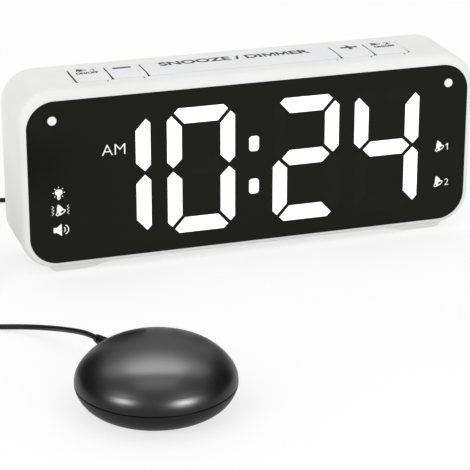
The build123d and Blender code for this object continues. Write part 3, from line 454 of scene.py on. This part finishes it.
tieBand = {
    "innerEdge": 5.36,
    "outerEdge": 17.75,
    "low": 0.5,
    "high": 12.1,
    "width": 4.0,
    "thickness": 0.5,
    "corner": 1.2,
    "tab": (8.0, 3.4, 0.45),
    "tabShift": 0.6,
    "tabEdge": 0.18,
}


def makeTie(band, lead):
    shape = bmesh.new()
    bmesh.ops.create_cube(shape, size=1)
    across = band["outerEdge"] - band["innerEdge"]
    tall = band["high"] - band["low"]
    middle = (
        lead["coilCentre"][0] + (band["innerEdge"] + band["outerEdge"]) / 2,
        lead["coilCentre"][1],
        (band["low"] + band["high"]) / 2,
    )
    bmesh.ops.scale(shape, vec=(across, band["width"], tall), verts=shape.verts)
    ends = [face for face in shape.faces if abs(face.normal.y) > 0.9]
    bmesh.ops.delete(shape, geom=ends, context="FACES_ONLY")
    corners = [edge for edge in shape.edges if not edge.is_boundary]
    bmesh.ops.bevel(
        shape, geom=corners, offset=band["corner"], segments=5, profile=0.5, affect="EDGES", material=-1
    )
    bmesh.ops.solidify(shape, geom=shape.faces[:], thickness=-band["thickness"])
    # The strap's free end lies back over the top of the band
    tab = bmesh.ops.create_cube(shape, size=1)["verts"]
    bmesh.ops.scale(shape, vec=band["tab"], verts=tab)
    lift = tall / 2 + band["thickness"] + band["tab"][2] / 2
    bmesh.ops.translate(shape, vec=(band["tabShift"], 0, lift), verts=tab)
    rims = [edge for edge in shape.edges if edge.verts[0] in tab and edge.verts[1] in tab]
    bmesh.ops.bevel(
        shape, geom=rims, offset=band["tabEdge"], segments=2, profile=0.5, affect="EDGES", material=-1
    )
    bmesh.ops.translate(shape, vec=middle, verts=shape.verts)
    bmesh.ops.scale(shape, vec=(mm, mm, mm), verts=shape.verts)
    bmesh.ops.recalc_face_normals(shape, faces=shape.faces)
    return newPiece("tie_band", shape, tieNylon)


cord = makeCord(cordLead)
keep(cord, "clock", "cord", "shaker_cord_run", "cord_coil", "clock_cord_run")
tie = keep(makeTie(tieBand, cordLead), "clock", "tie", "cord_tie")
tuple(Vector(cordLead["shakerRun"][0]) * mm)
print("cord laid")

dressing = [
    (whiteAbs, ["front_housing", "rear_cover", "battery_door"]),
    (keyAbs, ["alarm1_key", "minus_key", "snooze_key", "plus_key", "alarm2_key"]),
    (footTpe, ["left_foot", "right_foot"]),
    (smokedAcrylic, ["display_panel"]),
    (litOpal, ["colon_dots"]),
    (frostedLens, ["left_flash_lamp", "right_flash_lamp"]),
    (reflectorPs, ["display_reflector"]),
    (epoxyBoard, ["main_board", "key_board", "rear_board"]),
    (phosphor, ["led_chips"]),
    (brushedSteel, ["coin_cell", "motor_shaft", "key_switches", "set_switches", "slide_switches"]),
    (greyAbs, ["time_set_button", "alarm1_set_button", "alarm2_set_button"]),
    (blackPbt, ["volume_slider", "alert_mode_slider", "shaker_jack", "power_inlet"]),
    (enamelSteel, ["speaker_frame"]),
    (paperCone, ["speaker_cone"]),
    (ferrite, ["speaker_magnet"]),
    (nickelPlate, ["battery_clip", "plug_tip"]),
    (zincPlate, ["cover_screws", "board_screws", "shaker_screws", "shaker_motor"]),
    (puckAbs, ["shaker_top_shell"]),
    (baseAbs, ["shaker_base_shell"]),
    (blackRubber, ["shaker_pad"]),
    (greyNylon, ["motor_cradle"]),
    (turnedBrass, ["eccentric_weight"]),
    (blackPvc, ["shaker_gland", "cord_plug"]),
]
for finish, names in dressing:
    for name in names:
        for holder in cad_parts[name].material_slots:
            holder.material = finish
print("nodes dressed")

# The time shown is 10:24; each digit names the segments that stay dark
digits = {
    "hour_tens_digit": [],
    "hour_units_digit": ["middle"],
    "minute_tens_digit": ["upperLeft", "lowerRight"],
    "minute_units_digit": ["top", "bottom", "lowerLeft"],
}
digitZone = {"across": 0.2, "up": 0.25}  # shares of a digit's size that part bars from uprights
mergeGap = 0.001  # millimetres


def islands(shape):
    waiting = set(shape.faces)
    while waiting:
        border = [waiting.pop()]
        island = []
        while border:
            face = border.pop()
            island.append(face)
            near = {other for side in face.edges for other in side.link_faces} & waiting
            waiting -= near
            border.extend(near)
        yield island


def segmentName(island, low, high):
    middle = sum((face.calc_center_bounds() for face in island), Vector()) / len(island)
    across = (middle.x - low.x) / (high.x - low.x) - 0.5
    up = (middle.z - low.z) / (high.z - low.z) - 0.5
    if abs(across) < digitZone["across"]:
        return "top" if up > digitZone["up"] else "bottom" if up < -digitZone["up"] else "middle"
    return ("upper" if up > 0 else "lower") + ("Left" if across < 0 else "Right")


def makeDigit(node, dark):
    shape = bmesh.new()
    shape.from_mesh(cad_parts[node].data)
    bmesh.ops.remove_doubles(shape, verts=shape.verts, dist=mergeGap * mm)
    low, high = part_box(node)
    for island in islands(shape):
        unlit = segmentName(island, low, high) in dark
        for face in island:
            face.material_index = int(unlit)
            face.smooth = False
    return newPiece(node.replace("digit", "segments"), shape, litOpal, darkOpal)


for node, dark in digits.items():
    keep(makeDigit(node, dark), "clock", "light_guide", node)
print("digits lit")

inkDepth = {"blank": 0.5, "sunk": 0.02, "raised": 0.035}  # a blank is pressed to the other two
letterWeight = {"thin": -0.014, "plain": 0.0, "bold": 0.03, "small": 0.045}  # small print runs fatter


def flatMesh(curve):
    thing = bpy.data.objects.new("flatShape", curve)
    scene.collection.objects.link(thing)
    graph = bpy.context.evaluated_depsgraph_get()
    mesh = bpy.data.meshes.new_from_object(thing.evaluated_get(graph))
    bpy.data.objects.remove(thing)
    bpy.data.curves.remove(curve)
    return mesh


def words(text, weight):
    curve = bpy.data.curves.new("letters", "FONT")
    curve.body = text
    curve.extrude = inkDepth["blank"]
    curve.offset = letterWeight[weight]
    curve.resolution_u = 6
    return flatMesh(curve)


def outline(*loops):
    curve = bpy.data.curves.new("sign", "CURVE")
    curve.dimensions = "2D"
    curve.fill_mode = "BOTH"
    curve.extrude = inkDepth["blank"]
    for smooth, points in loops:
        spline = curve.splines.new("NURBS" if smooth else "POLY")
        spline.points.add(len(points) - 1)
        for point, (x, y) in zip(spline.points, points):
            point.co = (x, y, 0, 1)
        spline.use_cyclic_u = True
        if smooth:
            spline.order_u = 3
            spline.resolution_u = 5
    return flatMesh(curve)


def ring(x, y, wide, tall, count=10):
    return [
        (x + wide * math.cos(2 * math.pi * at / count), y + tall * math.sin(2 * math.pi * at / count))
        for at in range(count)
    ]


def mirrored(half):
    return half + [(-x, y) for x, y in reversed(half)]


def bell():
    body = [(-0.85, 2.32), (-0.6, 2.2), (-0.3, 1.87), (0.14, 1.6), (0.47, 1.22), (0.66, 0.8), (0.93, 0.44),
            (1.45, 0.23), (1.84, -0.02), (1.93, -0.3), (1.71, -0.72), (1.28, -1.17), (0.73, -1.57),
            (0.12, -1.9), (-0.36, -2.06), (-0.79, -2.06), (-1.21, -2.33), (-1.65, -2.11), (-1.96, -1.77),
            (-1.92, -1.52), (-1.65, -0.97), (-1.43, -0.55), (-1.39, -0.06), (-1.46, 0.61), (-1.34, 1.09),
            (-1.16, 1.45), (-1.28, 1.88), (-1.13, 2.2)]
    leftGap = [(-1.6, -1.4), (-1.12, -0.96), (-0.66, -1.0), (-0.92, -1.62), (-1.2, -2.02), (-1.48, -1.84)]
    rightGap = [(-0.28, -0.76), (0.48, -0.32), (1.2, -0.06), (1.6, -0.36), (1.02, -0.94), (0.6, -1.26),
                (0.02, -1.18)]
    return outline((True, body), (True, leftGap), (True, rightGap))


def bulb():
    half = [(0.5, 1.66), (1.35, 1.35), (1.62, 0.5), (1.4, -0.4), (0.74, -0.84), (0.6, -1.3), (0.74, -1.8),
            (0.7, -2.2), (0.4, -2.56), (0.1, -2.8)]
    glint = [(-1.12, 0.62), (-1.0, 0.98), (-0.62, 1.24), (-0.5, 1.08), (-0.8, 0.86), (-0.94, 0.58)]
    rays = []
    middle, start, end, halfStroke = Vector((0, 0.28)), 1.98, 2.56, 0.13
    for turn in range(-45, 226, 45):
        way = Vector((math.cos(math.radians(turn)), math.sin(math.radians(turn))))
        side = Vector((-way.y, way.x)) * halfStroke
        near = way * start + middle
        far = way * end + middle
        rays.append((False, [tuple(near - side), tuple(far - side), tuple(far + side), tuple(near + side)]))
    return outline((True, mirrored(half)), (True, glint), (True, ring(0, -1.95, 0.28, 0.28)), *rays)


def letterM():
    half = [(0.0, 0.28), (0.21, 0.7), (0.35, 0.7), (0.35, 0.0), (0.24, 0.0), (0.24, 0.44), (0.04, 0.04)]
    return outline((False, half + [(-x, y) for x, y in reversed(half[1:])]))


def one():
    return outline((False, [(0.6, 1.45), (0.6, -1.45), (0.24, -1.45), (0.24, 0.82), (-0.5, 0.36),
                            (-0.5, 0.7), (0.34, 1.45)]))


def zigzag(side):
    near, far, top, step, halfStroke = 2.6, 3.4, 1.94, 0.645, 0.12
    tips = [(side * (near if at % 2 else far), top - at * step) for at in range(7)]
    left = [(x - halfStroke, y) for x, y in tips]
    right = [(x + halfStroke, y) for x, y in tips]
    return (False, left + right[::-1])


def shakeMarks():
    return outline(zigzag(-1), zigzag(1))


def arc(x, radius, stroke, half):
    steps = 12
    turns = [math.radians(half * (2 * at / steps - 1)) for at in range(steps + 1)]
    far, near = radius + stroke / 2, radius - stroke / 2
    outer = [(x + far * math.cos(turn), far * math.sin(turn)) for turn in turns]
    inner = [(x + near * math.cos(turn), near * math.sin(turn)) for turn in turns]
    return (False, outer + inner[::-1])


def speaker():
    horn = [(-3.06, -1.06), (-1.66, -1.06), (0.0, -2.42), (0.22, -2.42), (0.22, 2.42), (0.0, 2.42),
            (-1.66, 1.06), (-3.06, 1.06)]
    return outline((False, horn), arc(0.68, 0.98, 0.34, 66), arc(0.96, 1.98, 0.38, 68))


def minusSign():
    return outline((False, [(-3.7, -1.05), (3.7, -1.05), (3.7, 1.05), (-3.7, 1.05)]))


def plusSign():
    return outline((False, [(-3.6, -0.95), (-0.65, -0.95), (-0.65, -3.3), (0.65, -3.3), (0.65, -0.95),
                            (3.6, -0.95), (3.6, 0.95), (0.65, 0.95), (0.65, 3.3), (-0.65, 3.3),
                            (-0.65, 0.95), (-3.6, 0.95)]))


def wedge():
    return outline((False, [(-3, -0.15), (3, -0.15), (3, 0.9), (-3, 0.15)]))


def clockSign():
    hands = [(-0.2, -0.2), (1.15, -0.2), (1.15, 0.2), (0.2, 0.2), (0.2, 1.5), (-0.2, 1.5)]
    return outline((True, ring(0, 0, 2.25, 2.25, 16)), (True, ring(0, 0, 1.8, 1.8, 16)), (False, hands))


def stamp(parts):
    shape = bmesh.new()
    for mesh, (x, y), size in parts:  # a width of 0 keeps the sign's own proportions
        before = set(shape.verts)
        shape.from_mesh(mesh)
        bpy.data.meshes.remove(mesh)
        verts = [v for v in shape.verts if v not in before]
        xs = [v.co.x for v in verts]
        ys = [v.co.y for v in verts]
        wide = max(xs) - min(xs)
        tall = max(ys) - min(ys)
        away = (-(max(xs) + min(xs)) / 2, -(max(ys) + min(ys)) / 2, 0)
        bmesh.ops.translate(shape, vec=away, verts=verts)
        grow = (size[0] / wide if size[0] else size[1] / tall, size[1] / tall, 1)
        bmesh.ops.scale(shape, vec=grow, verts=verts)
        bmesh.ops.translate(shape, vec=(x, y, 0), verts=verts)
    for v in shape.verts:
        v.co.z = inkDepth["raised"] if v.co.z > 0 else -inkDepth["sunk"]
    bmesh.ops.remove_doubles(shape, verts=shape.verts, dist=mergeGap)
    return shape


def finishStamp(name, shape, turn, lift, finish):
    bmesh.ops.transform(shape, matrix=Matrix.Translation(lift) @ turn, verts=shape.verts)
    bmesh.ops.scale(shape, vec=(mm, mm, mm), verts=shape.verts)
    bmesh.ops.recalc_face_normals(shape, faces=shape.faces)
    return newPiece(name, shape, finish)


# Signs on the face: printed windows in the smoked panel, lit white; places are X and Z
facePlane = -17.2
faceSigns = {
    "morning_sign": [(words("AM", "thin"), (-57.3, 49.58), (9.4, 4.3))],
    "lamp_sign": [(bulb(), (-79.6, 34.0), (0, 5.45))],
    "shake_sign": [
        (bell(), (-79.05, 27.03), (0, 4.72)),
        (shakeMarks(), (-79.08, 27.05), (0, 3.9)),
    ],
    "sound_sign": [(speaker(), (-79.0, 18.8), (0, 4.86))],
    "alarm1_sign": [(bell(), (80.3, 36.87), (0, 4.72)), (one(), (83.42, 36.4), (0, 2.85))],
    "alarm2_sign": [
        (bell(), (80.22, 21.5), (0, 4.72)),
        (words("2", "thin"), (83.87, 20.95), (1.8, 2.8)),
    ],
}
standUp = Matrix.Rotation(math.radians(90), 4, "X")
for name, parts in faceSigns.items():
    sign = finishStamp(name, stamp(parts), standUp, (0, facePlane, 0), litPrint)
    keep(sign, "clock", "light_guide")

# Legends on the keys: places are X and Y, and the print is cut in strips that follow the key's crown
keyCrown = {"top": 75.85, "middle": -0.5, "radius": 109.5, "strip": 0.6}
keyLegends = {
    "alarm1": [
        (bell(), (-64.1, 5.7), (4.8, 4.4)),
        (one(), (-59.6, 5.1), (1.5, 3.2)),
        (words("ON/OFF", "small"), (-62.6, 1.0), (9.0, 2.6)),
    ],
    "minus": [(minusSign(), (-47.85, 4.2), (7.4, 2.1))],
    "snooze": [  # the deep notch of the M would fill in the bold weight
        (words("SNOOZE / DI", "bold"), (-11.25, 4.2), (42.6, 5.7)),
        (letterM(), (13.45, 4.2), (5.0, 5.5)),
        (letterM(), (18.95, 4.2), (5.0, 5.5)),
        (words("ER", "bold"), (26.25, 4.2), (8.2, 5.57)),
    ],
    "plus": [(plusSign(), (47.75, 4.2), (7.2, 6.6))],
    "alarm2": [
        (bell(), (59.8, 5.7), (4.8, 4.4)),
        (words("2", "bold"), (64.6, 5.1), (2.6, 3.0)),
        (words("ON/OFF", "small"), (62.15, 1.0), (9.0, 2.6)),
    ],
}


def makeLegend(name, parts, crown):
    shape = stamp(parts)
    low = min(v.co.y for v in shape.verts)
    high = max(v.co.y for v in shape.verts)
    cuts = int((high - low) / crown["strip"])
    for cut in range(1, cuts + 1):
        bmesh.ops.bisect_plane(
            shape,
            geom=shape.verts[:] + shape.edges[:] + shape.faces[:],
            plane_co=(0, low + cut * (high - low) / (cuts + 1), 0),
            plane_no=(0, 1, 0),
        )
    for v in shape.verts:
        v.co.z -= (v.co.y - crown["middle"]) ** 2 / (2 * crown["radius"])
    return finishStamp(name, shape, Matrix.Identity(4), (0, 0, crown["top"]), inkAndPaintedShade)


for key, parts in keyLegends.items():
    legend = makeLegend(key + "_legend", parts, keyCrown)
    keep(legend, key + "_key_body", "black_face")

# Five small dots of painted shade on the deck, one before the right corner of each key
deckShadeDots = {"across": [-57.1, -42.5, 37.4, 52.0, 66.4], "front": -10.3, "deck": 75.3, "size": (0.7, 1.3)}
dots = [
    (outline((True, ring(0, 0, 1, 1))), (x, deckShadeDots["front"]), deckShadeDots["size"])
    for x in deckShadeDots["across"]
]
dots = finishStamp("deck_shade_dots", stamp(dots), Matrix.Identity(4), (0, 0, deckShadeDots["deck"]), inkAndPaintedShade)
keep(dots, "clock", "black_face")
print("signs and legends printed")

# Small signs at the back, beside the buttons and slides that they mean
rearPlane = 17.2
rearSigns = {
    "time_mark": [(clockSign(), (62, 57.2), (0, 4.2))],
    "alarm1_mark": [(bell(), (41.8, 57.2), (0, 4.0)), (one(), (45.2, 57.0), (0, 3.0))],
    "alarm2_mark": [(bell(), (22.5, 57.2), (0, 4.0)), (words("2", "plain"), (26.3, 57.0), (2.0, 3.0))],
    "volume_mark": [(wedge(), (10, 24.6), (7.0, 1.6))],
    "mode_mark": [(speaker(), (-12.2, 24.8), (0, 3.4)), (bell(), (-19.8, 24.8), (0, 3.4))],
}
faceBack = Matrix.Rotation(math.pi, 4, "Z") @ standUp
for name, parts in rearSigns.items():
    mark = finishStamp(name, stamp(parts), faceBack, (0, rearPlane, 0), inkAndPaintedShade)
    keep(mark, "clock", "black_face")
print("rear marks printed")

studio = {
    "floorSize": 8.0,  # metres
    "floorDrop": 0.2,  # millimetres below the feet
    "floorColour": "#979797",  # as the camera and gloss see it, under the lift
    "floorBounce": "#F8F8F8",  # as it lights what stands on it
    "floorLift": 0.7,
    "skyStrength": 0.86,
    "lampDepth": 0.02,  # metres from a lamp to the cloth before it
    "aim": (-76.1, -141.8, 12.0),  # the middle of the puck, in millimetres
}
# Degrees and metres; watts light the whole table, shine is only what the puck shows of a box
softboxes = {
    "leftSoftbox": {
        "azimuth": -65, "elevation": 27, "away": 1.4, "size": (0.46, 0.4), "watts": 2.7, "shine": 31.5,
    },
    "rightSoftbox": {
        "azimuth": 24, "elevation": 22.5, "away": 1.4, "size": (0.54, 0.44), "watts": 2.5, "shine": 49.0,
    },
    "topSoftbox": {
        "azimuth": 164, "elevation": 73, "away": 1.5, "size": (1.2, 0.42), "watts": 0.2, "shine": 24.0,
    },
    "backSoftbox": {
        "azimuth": 164, "elevation": 67, "away": 1.6, "size": (2.8, 0.7), "watts": 0.1, "shine": 28.0,
    },
    "overheadSoftbox": {
        "azimuth": -14, "elevation": 77, "away": 1.5, "size": (1.1, 0.44), "watts": 0.3, "shine": 8.5,
    },
}
# Black velvet flags beside the table: they show only as the dark sides of what is glossy
flags = {
    "leftFlag": {"azimuth": -131, "elevation": 14, "away": 1.2, "size": (2.2, 0.88)},
    "rightFlag": {"azimuth": 94, "elevation": 18, "away": 1.2, "size": (1.6, 0.78)},
}


def shownRays(tree):
    # 1 for what the camera sees, straight or by gloss and glass, and 0 for light on its way
    seen = addNode(tree, "ShaderNodeLightPath").outputs
    direct = addNode(tree, "ShaderNodeMath", {"operation": "ADD"}, {
        0: seen["Is Camera Ray"], 1: seen["Is Glossy Ray"],
    })
    return addNode(tree, "ShaderNodeMath", {"operation": "ADD", "use_clamp": True}, {
        0: direct.outputs[0], 1: seen["Is Transmission Ray"],
    }).outputs[0]


def makeFloor(setting):
    shape = bmesh.new()
    bmesh.ops.create_grid(shape, x_segments=8, y_segments=8, size=setting["floorSize"] / 2)
    bmesh.ops.translate(shape, vec=(0, 0, -setting["floorDrop"] * mm), verts=shape.verts)
    paper, tree = newTree("paperSweep")  # seamless paper: even, matt and nearly white
    shown = shownRays(tree)
    lift = addNode(tree, "ShaderNodeMath", {"operation": "MULTIPLY", 1: setting["floorLift"]}, {0: shown})
    glow = addNode(tree, "ShaderNodeEmission", (), {"Strength": lift.outputs[0]})
    tint = addNode(
        tree,
        "ShaderNodeMix",
        {"data_type": "RGBA", 6: linear(setting["floorBounce"]), 7: linear(setting["floorColour"])},
        {0: shown},
    )
    matt = addNode(tree, "ShaderNodeBsdfDiffuse", (), {"Color": tint.outputs[2]})
    both = addNode(tree, "ShaderNodeAddShader", (), {0: matt.outputs[0], 1: glow.outputs[0]})
    addNode(tree, "ShaderNodeOutputMaterial", (), {"Surface": both.outputs[0]})
    floor = newPiece("paperFloor", shape, paper)


def makeSky(setting):
    world = bpy.data.worlds.new("studioWorld")
    scene.world = world
    world.use_nodes = True
    tree = world.node_tree
    tree.nodes.clear()
    shown = shownRays(tree)
    strength = addNode(
        tree, "ShaderNodeMapRange", {"To Min": setting["skyStrength"], "To Max": 1}, {"Value": shown}
    )
    sky = addNode(tree, "ShaderNodeBackground", {"Color": (1, 1, 1, 1)}, {
        "Strength": strength.outputs["Result"],
    })
    addNode(tree, "ShaderNodeOutputWorld", (), {"Surface": sky.outputs[0]})


def direction(box):
    turn = math.radians(box["azimuth"])
    rise = math.radians(box["elevation"])
    return Vector((math.sin(turn) * math.cos(rise), -math.cos(turn) * math.cos(rise), math.sin(rise)))


def makeFlag(name, box, aim, velvet):
    shape = bmesh.new()
    bmesh.ops.create_grid(shape, x_segments=2, y_segments=2, size=0.5)
    bmesh.ops.scale(shape, vec=(*box["size"], 1), verts=shape.verts)
    way = direction(box)
    turn = (-way).to_track_quat("-Z", "Y").to_matrix().to_4x4()
    place = Matrix.Translation(Vector(aim) * mm + way * box["away"]) @ turn
    bmesh.ops.transform(shape, matrix=place, verts=shape.verts)
    flag = newPiece(name, shape, velvet)
    flag.visible_camera = False
    flag.visible_diffuse = False
    flag.visible_shadow = False


def makeSoftbox(name, box, aim, watts, away):
    lamp = bpy.data.lights.new(name, "AREA")
    lamp.shape = "RECTANGLE"
    lamp.size = box["size"][0]
    lamp.size_y = box["size"][1]
    lamp.energy = watts
    way = direction(box)
    holder = bpy.data.objects.new(name, lamp)
    holder.location = Vector(aim) * mm + way * away
    holder.rotation_euler = (-way).to_track_quat("-Z", "Y").to_euler()
    holder.visible_camera = False
    scene.collection.objects.link(holder)
    return holder


makeFloor(studio)
makeSky(studio)
glossy = bpy.data.collections.new("glossyPuck")
for name in ("shaker_top_shell", "shaker_base_shell"):
    glossy.objects.link(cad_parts[name])
for name, box in softboxes.items():
    makeSoftbox(name, box, studio["aim"], box["watts"], box["away"] + studio["lampDepth"])
    # The bright cloth of the box as the glossy puck shows it; it lights nothing matt
    cloth = makeSoftbox(name + "Cloth", box, studio["aim"], box["shine"], box["away"])
    cloth.visible_diffuse = False
    cloth.light_linking.receiver_collection = glossy
# Cotton velvet with a deep pile: it gives back no light
velvet = surface("blackVelvet", {
    "colour": "#060606", "shade": "#080808", "cloud": 40, "grain": 2, "relief": 0.2,
    "rough": (0.9, 1.0), "shader": {"Specular IOR Level": 0.0},
})
for name, box in flags.items():
    makeFlag(name, box, studio["aim"], velvet)
print("studio lit")
